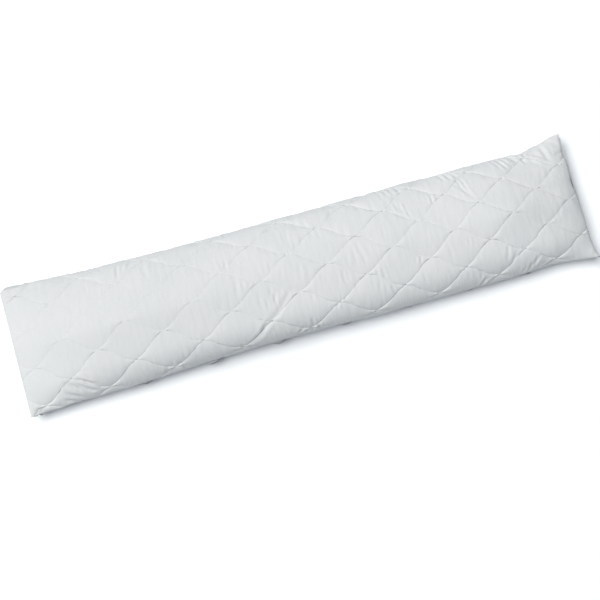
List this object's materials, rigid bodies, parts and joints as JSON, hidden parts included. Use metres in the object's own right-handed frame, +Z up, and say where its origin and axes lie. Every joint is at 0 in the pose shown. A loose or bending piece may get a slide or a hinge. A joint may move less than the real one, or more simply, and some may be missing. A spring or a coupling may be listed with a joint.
{
  "type": "body pillow",
  "caption": "Long filled pillow with a padded cover quilted in a wave pattern, closed by a flat seam at each end.",
  "frame": {"origin": "middle of the footprint, on the surface that the pillow lies on", "axes": "+X along the length, towards the end with the raised corner; +Y across it; +Z up, out of the top face"},
  "size_m": [1.41, 0.3238, 0.1235],
  "materials": {
    "cover_cloth": "matt brushed microfibre, quilted over padding"
  },
  "bodies": {
    "root": {"pillow": "cover_cloth"}
  },
  "joints": []
}
